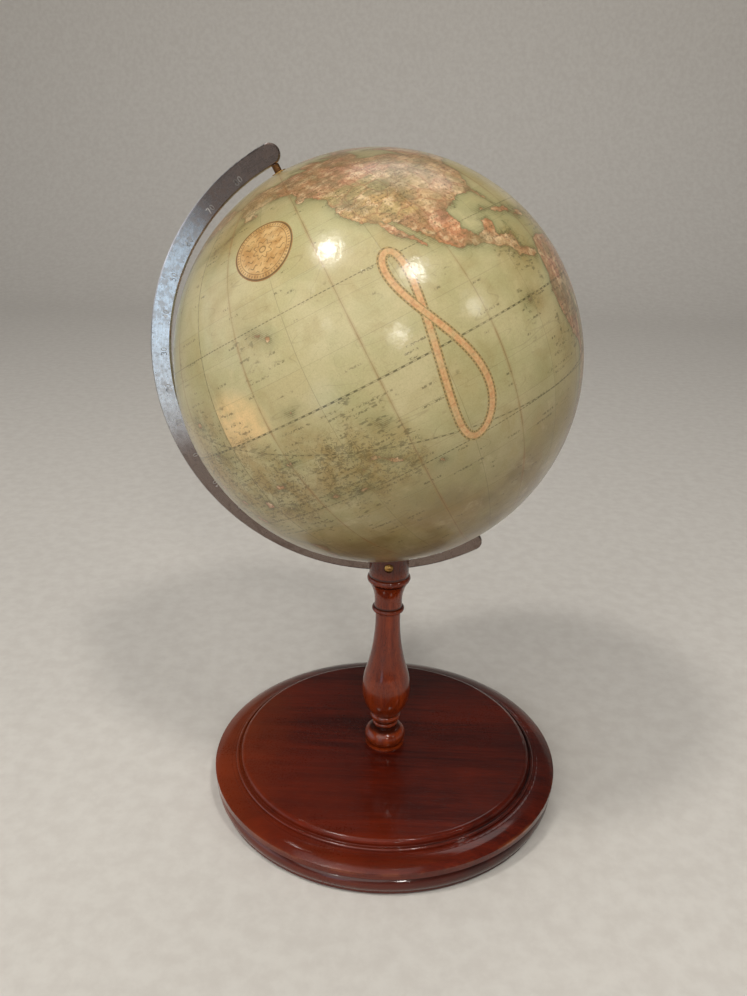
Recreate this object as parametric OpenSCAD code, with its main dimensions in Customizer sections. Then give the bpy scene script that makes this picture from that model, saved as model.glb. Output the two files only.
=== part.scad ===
// Desktop globe on a turned wooden stand.
// Frame: origin at the middle of the underside, +Z up, the meridian arm lies in the XZ plane and
// the north pole leans towards -X. Millimetres.

/* [Globe] */
// Outside diameter of the finished sphere
globe_d = 203.2; // [150:0.1:260]
// Thickness of the varnished map paper
paper_t = 0.3; // [0.2:0.05:0.8]
// Thickness of the plaster coat under the paper
plaster_t = 2.0; // [1:0.1:4]
// Thickness of the two papier mache half shells
shell_t = 3.0; // [2:0.1:6]
// Number of printed gores round the sphere
gore_count = 12; // [12]
// Half angle of the round paper cap at each pole, in degrees
calotte_angle = 12; // [8:1:20]

/* [Pose of the globe] */
// Tilt of the polar axis from the vertical, in degrees
axis_tilt = 28.6; // [15:0.1:35]
// How far the sphere's middle stands beside the pillar's axis
globe_offset = 8.3; // [0:0.1:14]

/* [Core and pivots] */
// Radius of the wooden core post at its waist
core_r = 7.0; // [6:0.1:10]
// Radius of the core post at its two ends
core_end_r = 12.0; // [11:0.1:18]
// Length of each thick end of the core post
core_end_h = 16.0; // [15:0.5:30]
// Radius of the brass pole bush
bush_r = 3.5; // [3:0.1:5]
// Length of the pole bush
bush_h = 14.0; // [11:0.5:20]
// How far the bush stands proud of the sphere
bush_proud = 0.4; // [0.2:0.1:1]
// Radius of the steel pivot pin
pin_r = 0.9; // [0.6:0.05:1.1]
// How far the pin reaches into the bush
pin_reach = 7.5; // [5:0.5:9]
// Spare depth of the bush bore beyond the pin
bore_spare = 0.5; // [0.3:0.1:1]
// Radial running clearance of the pin in the bush
run_clear = 0.05; // [0.02:0.01:0.1]
// Outside radius of the spacing collar between arm and bush
collar_r = 1.8; // [1.5:0.1:2.5]
// End play between the collar and the bush
end_play = 0.1; // [0.05:0.05:0.3]

/* [Meridian arm] */
// Gap between the sphere and the arm's inner edge
arm_gap = 4.1; // [3:0.1:7]
// Radial width of the arm
arm_w = 10.3; // [8:0.1:13]
// Thickness of the arm
arm_t = 3.0; // [2.6:0.1:5]
// Bevel along all the arm's edges
arm_bevel = 0.7; // [0.3:0.1:1]

/* [Pillar] */
// Height on the pillar's axis, above the base top, where the arm sits in its slot
seat_h = 113.1; // [110:0.1:150]
// Space left between the capital's top and the sphere
cap_clear = 3.6; // [2:0.1:6]
// Radius of the slotted barrel of the capital
cap_r = 11.0; // [9.5:0.1:13]
// Radius of the ring under the barrel
cap_ring_r = 12.1; // [11:0.1:15]
// Height of the ring under the barrel
cap_ring_h = 4.4; // [3:0.1:6]
// Solid wood between the ring and the seat of the arm
cap_web = 2.9; // [1:0.1:5]
// Radius of the upper neck where it is thinnest
upper_neck_r = 7.7; // [6.5:0.1:9]
// Length of the upper neck
upper_neck_h = 15.0; // [10:0.1:20]
// Radius of the thin ring between the two necks
mid_ring_r = 9.1; // [8:0.1:12]
// Height of the thin ring between the two necks
mid_ring_h = 3.2; // [2:0.1:5]
// Radius of the lower neck
neck_r = 7.0; // [6:0.1:9]
// Largest radius of the vase
vase_r = 14.0; // [12:0.1:18]
// Height of the vase's widest place above the base top
vase_h = 37.0; // [34:0.1:42]
// Radius of the arc above the vase's widest place
vase_arc_r = 40.0; // [30:1:60]
// Radius of the ring under the vase
vase_ring_r = 8.9; // [8:0.1:11]
// Height of the ring under the vase
vase_ring_h = 4.4; // [3:0.1:5]
// Radius of the small ring above the foot
foot_ring_r = 7.5; // [7:0.1:10]
// Height of the small ring above the foot
foot_ring_h = 2.6; // [2:0.1:3]
// Radius of the coves between the rings
cove_r = 5.9; // [5:0.1:7]
// Height of the cove between the foot and the small ring
low_cove_h = 1.8; // [1:0.1:2.5]
// Height of the cove between the two rings
high_cove_h = 1.2; // [0.8:0.1:2]
// Radius of the foot
foot_r = 11.9; // [10:0.1:16]
// Height of the foot
foot_h = 11.0; // [8:0.1:12]
// Radius of the tenon under the foot
tenon_r = 8.0; // [6:0.1:9]
// Length of the tenon
tenon_h = 12.0; // [8:0.5:14]
// Clearance of the wood round the tenon and the arm
wood_clear = 0.05; // [0.03:0.01:0.15]

/* [Base] */
// Largest radius of the base board
base_r = 100.0; // [90:0.5:125]
// Height of the whole base above the table
base_h = 23.0; // [21:0.1:30]
// Radius of the flat top's rounded edge
top_r = 85.0; // [75:0.5:88]
// Rounding of the flat top's edge
top_round = 2.6; // [1.5:0.1:3]
// Height of the arris of the moulding
arris_h = 15.6; // [14.5:0.1:16.5]
// Radius of the large round of the moulding
ovolo_r = 17.7; // [15:0.1:25]
// Drop of the large round from its top to the arris
ovolo_drop = 2.6; // [2:0.1:3]
// Radius of the hollow that steps down to the large round
step_r = 2.0; // [1.5:0.1:2.2]
// Distance from the top's edge to the outside of the small raised ring
ring_out = 2.9; // [2.6:0.1:3.2]
// Height of the small raised ring above the step
ring_h = 1.7; // [1.5:0.1:1.8]
// Radius of the groove beside the top's edge
quirk_r = 0.7; // [0.5:0.05:0.8]
// Height of the half round bead at the bottom
plinth_h = 10.0; // [8:0.1:11]
// How far the bottom bead stands back from the arris
plinth_inset = 0.8; // [0.3:0.1:2]
// Thickness of the baize under the base
baize_t = 1.0; // [0.6:0.1:2]
// Radius of the baize
baize_r = 92.0; // [70:0.5:93]

/* [Fasteners] */
// Shank radius of the wood screw in the pillar's foot
screw_r = 2.0; // [1.5:0.1:2.5]
// Head radius of that screw
screw_head_r = 4.2; // [3.5:0.1:5]
// Head height of that screw
screw_head_h = 2.6; // [2:0.1:3]
// How far that screw goes into the pillar
screw_bite = 22.0; // [14:0.5:24]
// Radius of the washer under that screw
washer_r = 7.0; // [6:0.1:9]
// Thickness of the washer
washer_t = 1.0; // [0.6:0.1:1.5]
// Depth of the washer's recess in the base board
recess_h = 5.0; // [4:0.1:6]
// Radius of the cross screw that holds the arm
cross_r = 1.2; // [0.8:0.1:1.5]
// Head radius of the cross screw
cross_head_r = 2.5; // [2:0.1:3]
// Head height of the cross screw
cross_head_h = 1.5; // [1:0.1:2]
// Depth of the flat cut in the capital for that head
cross_spot = 0.7; // [0.4:0.1:1]
// Wood left behind the point of the cross screw
cross_end = 3.0; // [2:0.1:5]

/* [Hidden] */
$fn = 96;
EPS = 0.01;
BIG = 600;

globe_r = globe_d / 2;
plaster_r = globe_r - paper_t;
shell_r = plaster_r - plaster_t;
inner_r = shell_r - shell_t;
gore_z = globe_r * cos(calotte_angle);
gore_span = 360 / gore_count;

arm_ri = globe_r + arm_gap;
arm_ro = arm_ri + arm_w;
arm_rm = arm_ri + arm_w / 2;
bush_top = globe_r + bush_proud;
pin_low = bush_top - pin_reach;
bore_low = pin_low - bore_spare;
collar_low = bush_top + end_play;
collar_top = sqrt(arm_ri * arm_ri - collar_r * collar_r);

seat_z = base_h + seat_h;
centre_z = seat_z + sqrt(arm_ro * arm_ro - globe_offset * globe_offset);
sphere_low = centre_z - sqrt(globe_r * globe_r - globe_offset * globe_offset);
cap_top = sphere_low - cap_clear;
cross_z = centre_z - sqrt(arm_rm * arm_rm - globe_offset * globe_offset);
slot_w = arm_t + 2 * wood_clear;

cap_ring_z = seat_z - cap_web - cap_ring_h / 2;
upper_neck_top = cap_ring_z - cap_ring_h / 2;
upper_neck_low = upper_neck_top - upper_neck_h;
mid_ring_z = upper_neck_low - mid_ring_h / 2;
neck_top = mid_ring_z - mid_ring_h / 2;
vase_z = base_h + vase_h;
neck_z = neck_top - 4;
foot_z = base_h + foot_h / 2;
foot_ring_z = base_h + foot_h + foot_ring_h / 2 + low_cove_h;
vase_ring_z = foot_ring_z + foot_ring_h / 2 + high_cove_h + vase_ring_h / 2;
bowl_z = vase_ring_z + vase_ring_h / 2;

// The vase's upper arc and the hollow of the neck touch where their centres are both radii apart.
arc_rise = neck_z - vase_z;
arc_sum = (arc_rise * arc_rise + (vase_r - neck_r) * (vase_r - neck_r)) / (2 * (vase_r - neck_r));
neck_arc_r = arc_sum - vase_arc_r;
touch_z = vase_z + arc_rise * vase_arc_r / arc_sum;
bowl_step = vase_r - vase_ring_r + 0.4;
bowl_rise = vase_z - bowl_z;
bowl_arc_r = (bowl_rise * bowl_rise + bowl_step * bowl_step) / (2 * bowl_step);

ovolo_low = ovolo_r - ovolo_drop;
ovolo_x = base_r - sqrt(ovolo_r * ovolo_r - ovolo_low * ovolo_low);
ovolo_z = arris_h - ovolo_low;
step_z = ovolo_z + ovolo_r + 0.1;
ring_x = top_r + ring_out;
ring_z = step_z + ring_h;
ring_round = 0.8;
arris_depth = 3.4;
plinth_r = base_r - plinth_inset;
wood_low = baize_t;
recess_top = wood_low + recess_h;
washer_low = recess_top - washer_t;
screw_top = base_h - tenon_h + screw_bite;
recess_r = washer_r + 0.5;
pillar_tenon_low = base_h - tenon_h;
mortise_low = pillar_tenon_low - 0.3;

// Everything that belongs to the sphere or to the arm is drawn about the polar axis.
module at_globe() {
    translate([-globe_offset, 0, centre_z])
        rotate([0, -axis_tilt, 0])
            children();
}

// The half of a profile that may be turned about the Z axis, between two heights.
module half_plane(low, high, from = 0) {
    translate([from, low])
        square([BIG, high - low]);
}

// A turned ring with a half round edge.
module ring_profile(z, h, r) {
    translate([0, z - h / 2])
        square([r - h / 2, h]);
    translate([r - h / 2, z])
        circle(r = h / 2);
}

// A turned collar with straight sides.
module block_profile(low, high, r) {
    translate([0, low])
        square([r, high - low]);
}

module base_profile() {
    difference() {
        union() {
            block_profile(wood_low, arris_h - 1.2, base_r - 2.4);
            block_profile(wood_low, wood_low + plinth_h, plinth_r - plinth_h / 2);
            translate([plinth_r - plinth_h / 2, wood_low + plinth_h / 2])
                circle(r = plinth_h / 2);
            block_profile(arris_h - arris_depth, arris_h - 0.9, base_r);
            block_profile(arris_h - arris_depth, step_z - 0.1, ovolo_x);
            intersection() {
                translate([ovolo_x, ovolo_z])
                    circle(r = ovolo_r);
                translate([0, arris_h - arris_depth])
                    square([base_r, BIG]);
            }
            block_profile(arris_h - arris_depth, step_z, ring_x + step_r + 0.6);
            block_profile(arris_h - arris_depth, ring_z, ring_x - ring_round);
            translate([ring_x - ring_round, ring_z - ring_round])
                circle(r = ring_round);
            block_profile(arris_h - arris_depth, ring_z - ring_round, ring_x);
            block_profile(arris_h, base_h - top_round, top_r);
            block_profile(arris_h, base_h, top_r - top_round);
            translate([top_r - top_round, base_h - top_round])
                circle(r = top_round);
        }
        translate([ring_x + step_r, step_z - 0.1 + step_r])
            circle(r = step_r);
        translate([top_r + quirk_r, ring_z])
            circle(r = quirk_r);
    }
}

module base_board() {
    color("#6e2a17")
        difference() {
            rotate_extrude()
                base_profile();
            translate([0, 0, mortise_low])
                cylinder(r = tenon_r + wood_clear, h = BIG);
            translate([0, 0, -EPS])
                cylinder(r = recess_r, h = recess_top + EPS);
            cylinder(r = screw_r + 0.2, h = base_h);
        }
}

module baize_pad() {
    color("#2f4a2c")
        difference() {
            cylinder(r = baize_r, h = baize_t);
            translate([0, 0, -EPS])
                cylinder(r = recess_r, h = baize_t + 2 * EPS);
        }
}

module base_washer() {
    color("#8b8b86")
        difference() {
            translate([0, 0, washer_low])
                cylinder(r = washer_r, h = washer_t);
            cylinder(r = screw_r + 0.2, h = base_h);
        }
}

module base_screw() {
    color("#9a9a94")
        difference() {
            union() {
                translate([0, 0, washer_low - screw_head_h])
                    cylinder(r = screw_head_r, h = screw_head_h);
                translate([0, 0, washer_low - EPS])
                    cylinder(r = screw_r, h = screw_top - washer_low - 4);
                translate([0, 0, screw_top - 4 - 2 * EPS])
                    cylinder(r1 = screw_r, r2 = 0.4, h = 4);
            }
            translate([-screw_head_r - 1, -0.5, washer_low - screw_head_h - EPS])
                cube([2 * screw_head_r + 2, 1, 1.2]);
        }
}

module vase_profile() {
    intersection() {
        translate([vase_r - bowl_arc_r, vase_z])
            circle(r = bowl_arc_r);
        half_plane(bowl_z, vase_z);
    }
    intersection() {
        translate([vase_r - vase_arc_r, vase_z])
            circle(r = vase_arc_r);
        half_plane(vase_z, touch_z);
    }
    difference() {
        block_profile(touch_z, neck_top, vase_r);
        translate([neck_r + neck_arc_r, neck_z])
            circle(r = neck_arc_r);
    }
}

module upper_neck_profile() {
    hollow_r = upper_neck_h * 1.6;
    difference() {
        block_profile(upper_neck_low, upper_neck_top, cap_r + 0.4);
        translate([upper_neck_r + hollow_r, upper_neck_low + 3])
            circle(r = hollow_r);
    }
}

module pillar_profile() {
    block_profile(pillar_tenon_low, base_h + EPS, tenon_r);
    block_profile(base_h, base_h + 1, foot_r - 0.4);
    ring_profile(foot_z + 0.3, foot_h - 0.6, foot_r);
    block_profile(base_h + foot_h - 0.6, bowl_z, cove_r);
    ring_profile(foot_ring_z, foot_ring_h, foot_ring_r);
    ring_profile(vase_ring_z, vase_ring_h, vase_ring_r);
    vase_profile();
    ring_profile(mid_ring_z, mid_ring_h, mid_ring_r);
    upper_neck_profile();
    ring_profile(cap_ring_z, cap_ring_h, cap_ring_r);
    block_profile(cap_ring_z, cap_top - 1, cap_r);
    block_profile(cap_ring_z, cap_top, cap_r - 1);
    translate([cap_r - 1, cap_top - 1])
        circle(r = 1);
}

module pillar() {
    color("#7a2f18")
        difference() {
            rotate_extrude()
                pillar_profile();
            translate([-globe_offset, 0, centre_z])
                rotate([90, 0, 0])
                    cylinder(r = arm_ro + wood_clear, h = slot_w, center = true);
            translate([0, 0, pillar_tenon_low - EPS])
                cylinder(r = screw_r, h = screw_top - pillar_tenon_low - 4);
            translate([0, 0, screw_top - 4 - 2 * EPS])
                cylinder(r1 = screw_r, r2 = 0.4, h = 4);
            translate([0, -cap_r + cross_spot, cross_z])
                rotate([90, 0, 0])
                    cylinder(r = cross_head_r + 0.1, h = BIG);
            translate([0, -BIG, cross_z])
                rotate([-90, 0, 0])
                    cylinder(r = cross_r, h = BIG + cap_r - cross_end);
        }
}

module arm_screw() {
    head_y = -cap_r + cross_spot;
    dome_r = (cross_head_r * cross_head_r + cross_head_h * cross_head_h) / (2 * cross_head_h);
    color("#b9a36a")
        translate([0, head_y, cross_z])
            rotate([90, 0, 0])
                difference() {
                    union() {
                        intersection() {
                            translate([0, 0, cross_head_h - dome_r])
                                sphere(r = dome_r);
                            cylinder(r = cross_head_r, h = cross_head_h);
                        }
                        translate([0, 0, -(2 * cap_r - cross_end - cross_spot)])
                            cylinder(r = cross_r, h = 2 * cap_r - cross_end - cross_spot + EPS);
                    }
                    translate([-cross_head_r - 1, -0.3, cross_head_h - 0.7])
                        cube([2 * cross_head_r + 2, 0.6, 2]);
                }
}

module arm_profile() {
    half = arm_t / 2;
    polygon([
        [arm_ri + arm_bevel, -half], [arm_ro - arm_bevel, -half], [arm_ro, -half + arm_bevel],
        [arm_ro, half - arm_bevel], [arm_ro - arm_bevel, half], [arm_ri + arm_bevel, half],
        [arm_ri, half - arm_bevel], [arm_ri, -half + arm_bevel]
    ]);
}

// The round end of the arm: a bevelled coin about the pivot's place.
module arm_end() {
    half = arm_t / 2;
    edge = arm_w / 2;
    rotate([90, 0, 0])
        rotate_extrude()
            polygon([
                [0, -half], [edge - arm_bevel, -half], [edge, -half + arm_bevel],
                [edge, half - arm_bevel], [edge - arm_bevel, half], [0, half]
            ]);
}

module meridian_arm() {
    color("#a9a9a6")
        difference() {
            at_globe()
                difference() {
                    union() {
                        rotate([90, 0, 0])
                            rotate([0, 0, 90])
                                rotate_extrude(angle = 180)
                                    arm_profile();
                        for (s = [-1, 1])
                            translate([0, 0, s * arm_rm])
                                arm_end();
                    }
                    cylinder(r = pin_r, h = BIG, center = true);
                }
            translate([0, 0, cross_z])
                rotate([90, 0, 0])
                    cylinder(r = cross_r, h = BIG, center = true);
        }
}

module pin_shape() {
    translate([0, 0, pin_low])
        cylinder(r = pin_r, h = arm_ro - pin_low);
}

module north_pin() {
    color("#8f9194")
        at_globe()
            pin_shape();
}

module south_pin() {
    color("#8f9194")
        at_globe()
            mirror([0, 0, 1])
                pin_shape();
}

module collar_shape() {
    difference() {
        translate([0, 0, collar_low])
            cylinder(r = collar_r, h = collar_top - collar_low);
        cylinder(r = pin_r, h = BIG);
    }
}

module north_collar() {
    color("#b08d4c")
        at_globe()
            collar_shape();
}

module south_collar() {
    color("#b08d4c")
        at_globe()
            mirror([0, 0, 1])
                collar_shape();
}

module core_post() {
    end_z = sqrt(inner_r * inner_r - core_end_r * core_end_r);
    color("#b98d5a")
        at_globe()
            difference() {
                intersection() {
                    rotate_extrude() {
                        block_profile(-inner_r, inner_r, core_r);
                        block_profile(end_z - core_end_h, inner_r, core_end_r);
                        block_profile(-inner_r, core_end_h - end_z, core_end_r);
                    }
                    sphere(r = inner_r);
                }
                for (s = [-1, 1])
                    translate([0, 0, s * bush_top])
                        cylinder(r = bush_r, h = 2 * bush_h, center = true);
            }
}

module bush_shape() {
    difference() {
        translate([0, 0, bush_top - bush_h])
            cylinder(r = bush_r, h = bush_h);
        translate([0, 0, bore_low])
            cylinder(r = pin_r + run_clear, h = BIG);
    }
}

module north_bush() {
    color("#b08d4c")
        at_globe()
            bush_shape();
}

module south_bush() {
    color("#b08d4c")
        at_globe()
            mirror([0, 0, 1])
                bush_shape();
}

// The section of a round skin between two radii, clear of the pole bush.
module skin_profile(outer, inner, low, high, from) {
    intersection() {
        difference() {
            circle(r = outer);
            circle(r = inner);
        }
        half_plane(low, high, from);
    }
}

module north_half_shell() {
    color("#b9a98a")
        at_globe()
            rotate_extrude()
                skin_profile(shell_r, inner_r, 0, BIG / 2, bush_r);
}

module south_half_shell() {
    color("#b3a283")
        at_globe()
            rotate_extrude()
                skin_profile(shell_r, inner_r, -BIG / 2, 0, bush_r);
}

module plaster_coat() {
    color("#e6e0d2")
        at_globe()
            rotate_extrude()
                skin_profile(plaster_r, shell_r, -BIG / 2, BIG / 2, bush_r);
}

module calotte_shape() {
    rotate_extrude()
        skin_profile(globe_r, plaster_r, gore_z, BIG / 2, bush_r);
}

module north_calotte() {
    color("#a9ad84")
        at_globe()
            calotte_shape();
}

module south_calotte() {
    color("#a39f78")
        at_globe()
            mirror([0, 0, 1])
                calotte_shape();
}

// One printed gore, from one calotte to the other.
module gore(i) {
    color(i % 2 == 0 ? "#b3b68c" : "#a9ac82")
        at_globe()
            rotate([0, 0, (i - 1) * gore_span])
                rotate_extrude(angle = gore_span)
                    skin_profile(globe_r, plaster_r, -gore_z, gore_z, bush_r);
}

function gore_node(i) = str("gore_", i < 10 ? "0" : "", i);

base_board();
baize_pad();
base_washer();
base_screw();
pillar();
arm_screw();
meridian_arm();
north_pin();
south_pin();
north_collar();
south_collar();
core_post();
north_bush();
south_bush();
north_half_shell();
south_half_shell();
plaster_coat();
north_calotte();
south_calotte();
gore(1);  // gore_01
gore(2);  // gore_02
gore(3);  // gore_03
gore(4);  // gore_04
gore(5);  // gore_05
gore(6);  // gore_06
gore(7);  // gore_07
gore(8);  // gore_08
gore(9);  // gore_09
gore(10);  // gore_10
gore(11);  // gore_11
gore(12);  // gore_12
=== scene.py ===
"""Desktop globe on a turned mahogany stand: the looks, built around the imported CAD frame.

Lengths are metres in the row frame. The printed map is worked out in "map space": unit vectors with
X at longitude 0, Y at 90 degrees east and Z at the printed north pole.
"""

import functools
import math

import bpy
import numpy as np
from mathutils import Matrix, Vector
from mathutils.kdtree import KDTree


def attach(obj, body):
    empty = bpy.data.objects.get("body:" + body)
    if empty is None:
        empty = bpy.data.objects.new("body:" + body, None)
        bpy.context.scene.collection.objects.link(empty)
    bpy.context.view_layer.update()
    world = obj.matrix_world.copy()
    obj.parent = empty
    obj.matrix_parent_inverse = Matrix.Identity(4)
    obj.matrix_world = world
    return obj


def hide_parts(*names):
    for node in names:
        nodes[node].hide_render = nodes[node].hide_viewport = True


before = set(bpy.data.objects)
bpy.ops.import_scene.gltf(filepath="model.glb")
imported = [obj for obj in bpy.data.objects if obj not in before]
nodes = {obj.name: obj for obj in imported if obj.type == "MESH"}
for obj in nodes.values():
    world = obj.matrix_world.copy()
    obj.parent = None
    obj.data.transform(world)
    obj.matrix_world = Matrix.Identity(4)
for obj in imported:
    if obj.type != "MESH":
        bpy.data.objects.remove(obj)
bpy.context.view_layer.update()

MM = 0.001
GLOBE_R = 101.6 * MM
CENTRE = np.array([-8.3, 0.0, 251.803]) * MM
TILT = math.radians(28.6)
ARM_INNER, ARM_OUTER, ARM_FACE_Y = 105.7 * MM, 116.0 * MM, -1.5 * MM
BUSH_HOLE_R = 3.4 * MM
# The printed sheets sit a little off the pivots: the map leans by this much about the arm's plane,
# fading out towards the pivots.
MAP_LEAN = math.radians(6.5)
MAP_EAST = math.radians(128.86)
FADE_FROM, FADE_WIDTH = math.radians(40), math.radians(45)

AXIS = np.array([-math.sin(TILT), 0.0, math.cos(TILT)])
ARM_SIDE = np.array([-math.cos(TILT), 0.0, -math.sin(TILT)])
FRONT = np.cross(AXIS, ARM_SIDE)


# ---- map space and the sphere
def smooth(x):
    x = np.clip(x, 0, 1)
    return x * x * (3 - 2 * x)


def turn(v, angle):
    """Turns vectors about the arm side direction."""
    c, s = np.cos(angle)[..., None], np.sin(angle)[..., None]
    along = (v @ ARM_SIDE)[..., None] * ARM_SIDE
    return v * c + np.cross(ARM_SIDE, v) * s + along * (1 - c)


def lean_at(n):
    lat = np.arcsin(np.clip(n @ AXIS, -1, 1))
    return MAP_LEAN * (1 - smooth((np.abs(lat) - FADE_FROM) / FADE_WIDTH))


def to_map(n):
    """Unit vectors in the row frame to map space."""
    m = turn(n, -lean_at(n))
    lon = np.arctan2(m @ FRONT, m @ ARM_SIDE) + MAP_EAST
    z = np.clip(m @ AXIS, -1, 1)
    r = np.sqrt(1 - z * z)
    return np.stack([r * np.cos(lon), r * np.sin(lon), z], -1)


def from_map(lat, lon):
    """Degrees on the map to unit vectors in the row frame."""
    lat, lon = np.radians(lat), np.radians(lon) - MAP_EAST
    m = (
        np.sin(lat)[..., None] * AXIS
        + (np.cos(lat) * np.cos(lon))[..., None] * ARM_SIDE
        + (np.cos(lat) * np.sin(lon))[..., None] * FRONT
    )
    n = m
    for _ in range(6):
        n = turn(m, lean_at(n))
    return n


def unit(lat, lon):
    """Degrees on the map to unit vectors in map space."""
    lat, lon = np.radians(lat), np.radians(lon)
    return np.stack([np.cos(lat) * np.cos(lon), np.cos(lat) * np.sin(lon), np.sin(lat)], -1)


def degrees_of(m):
    """Unit vectors in map space to degrees of latitude and longitude."""
    return np.degrees(np.arcsin(np.clip(m[:, 2], -1, 1))), np.degrees(np.arctan2(m[:, 1], m[:, 0]))


# ---- mesh helpers
def mesh_object(name, verts, faces, body, smooth_faces=True):
    mesh = bpy.data.meshes.new(name)
    mesh.from_pydata([tuple(v) for v in verts], [], faces)
    mesh.validate()
    mesh.update()
    if smooth_faces:
        mesh.shade_smooth()
    ob = bpy.data.objects.new(name, mesh)
    bpy.context.scene.collection.objects.link(ob)
    if body:
        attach(ob, body)
    return ob


def grid_faces(rows, cols):
    """Quads between rows of cols points. Each row closes on itself."""
    return [
        (i * cols + j, i * cols + (j + 1) % cols, (i + 1) * cols + (j + 1) % cols, (i + 1) * cols + j)
        for i in range(rows - 1)
        for j in range(cols)
    ]


def put_attribute(mesh, name, values):
    """One number, vector or colour for each point."""
    values = values.reshape(len(mesh.vertices), -1).astype(np.float32)
    kinds = {1: ("FLOAT", "value"), 3: ("FLOAT_VECTOR", "vector"), 4: ("FLOAT_COLOR", "color")}
    kind, field = kinds[values.shape[1]]
    mesh.attributes.new(name, kind, "POINT").data.foreach_set(field, values.ravel())


# ---- node helpers
def lin(r, g, b):
    """A colour from 0 to 255 as linear values."""
    parts = [c / 255 for c in (r, g, b)]
    return (*[c / 12.92 if c <= 0.04045 else ((c + 0.055) / 1.055) ** 2.4 for c in parts], 1.0)


class Nodes:
    """A node tree under construction. Each helper returns an output socket."""

    def __init__(self, tree):
        self.tree = tree

    def node(self, kind, **props):
        n = self.tree.nodes.new("ShaderNode" + kind)
        for key, value in props.items():
            setattr(n, key, value)
        return n

    def feed(self, socket, value):
        if isinstance(value, bpy.types.NodeSocket):
            self.tree.links.new(value, socket)
        elif value is not None:
            socket.default_value = value

    def math(self, op, a, b=None):
        n = self.node("Math", operation=op)
        self.feed(n.inputs[0], a)
        self.feed(n.inputs[1], b)
        return n.outputs[0]

    def add(self, a, b):
        return self.math("ADD", a, b)

    def sub(self, a, b):
        return self.math("SUBTRACT", a, b)

    def mul(self, *values):
        return functools.reduce(lambda a, b: self.math("MULTIPLY", a, b), values)

    def most(self, *values):
        return functools.reduce(lambda a, b: self.math("MAXIMUM", a, b), values)

    def vmath(self, op, a, b=None):
        n = self.node("VectorMath", operation=op)
        self.feed(n.inputs[0], a)
        if op == "SCALE":
            self.feed(n.inputs["Scale"], b)
        elif b is not None:
            self.feed(n.inputs[1], b)
        return n.outputs["Value" if op == "DOT_PRODUCT" else "Vector"]

    def ramp(self, x, low, high, out_low=0.0, out_high=1.0):
        """Smooth step from out_low to out_high as x goes from low to high."""
        n = self.node("MapRange", interpolation_type="SMOOTHSTEP")
        for socket, value in zip(n.inputs, (x, low, high, out_low, out_high)):
            self.feed(socket, value)
        return n.outputs[0]

    def fold(self, x, half):
        """Runs up and down between 0 and half."""
        return self.math("PINGPONG", x, half)

    def band(self, x, half, soft):
        """1 where |x| is under half, fading over soft."""
        return self.ramp(self.math("ABSOLUTE", x), half + soft / 2, max(half - soft / 2, 0.0))

    def mix(self, factor, a, b):
        n = self.node("Mix", data_type="RGBA")
        self.feed(n.inputs[0], factor)
        self.feed(n.inputs[6], a)
        self.feed(n.inputs[7], b)
        return n.outputs[2]

    def over(self, colour, *coats):
        """Lays coats over a colour. Each coat is a factor and a colour from 0 to 255."""
        for factor, rgb in coats:
            colour = self.mix(factor, colour, lin(*rgb))
        return colour

    def stops(self, x, *stops):
        """A run of colours, each given with its place from 0 to 1."""
        n = self.node("ValToRGB")
        ramp = n.color_ramp
        while len(ramp.elements) < len(stops):
            ramp.elements.new(0.5)
        for element, (at, colour) in zip(ramp.elements, stops):
            element.position = at
            element.color = colour
        self.feed(n.inputs[0], x)
        return n.outputs[0]

    def noise(self, vector, scale, detail=4.0, rough=0.55, warp=0.0):
        n = self.node("TexNoise")
        keys = ("Vector", "Scale", "Detail", "Roughness", "Distortion")
        for key, value in zip(keys, (vector, scale, detail, rough, warp)):
            self.feed(n.inputs[key], value)
        return n.outputs["Fac"]

    def cells(self, vector, scale, feature="F1", out="Distance"):
        n = self.node("TexVoronoi", feature=feature)
        self.feed(n.inputs["Vector"], vector)
        n.inputs["Scale"].default_value = scale
        return n.outputs[out]

    def bend(self, vector, scale):
        """Noise as a vector about 0, for bending other patterns."""
        n = self.noise(vector, scale, 4.0, 0.5).node
        return self.vmath("SUBTRACT", n.outputs["Color"], (0.5, 0.5, 0.5))

    def place(self):
        return self.node("TexCoord").outputs["Object"]

    def attribute(self, name, out="Vector"):
        return self.node("Attribute", attribute_name=name).outputs[out]

    def split(self, vector):
        n = self.node("SeparateXYZ")
        self.feed(n.inputs[0], vector)
        return tuple(n.outputs)

    def join(self, x, y, z):
        n = self.node("CombineXYZ")
        for socket, value in zip(n.inputs, (x, y, z)):
            self.feed(socket, value)
        return n.outputs[0]

    def radius(self, x, y):
        return self.math("SQRT", self.add(self.mul(x, x), self.mul(y, y)))


class Paint(Nodes):
    """A material. Settings that are the same all over go on the shader's own sockets."""

    def __init__(self, name, **settings):
        self.mat = bpy.data.materials.new(name)
        self.mat.use_nodes = True
        super().__init__(self.mat.node_tree)
        self.tree.nodes.clear()
        self.bsdf = self.node("BsdfPrincipled")
        self.feed(self.node("OutputMaterial").inputs[0], self.bsdf.outputs[0])
        for key, value in settings.items():
            self.set(key.replace("_", " "), value)

    def set(self, key, value):
        self.feed(self.bsdf.inputs[key], value)

    def bump(self, height, distance, strength):
        n = self.node("Bump")
        for key, value in (("Strength", strength), ("Distance", distance), ("Height", height)):
            self.feed(n.inputs[key], value)
        return n.outputs[0]


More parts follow.
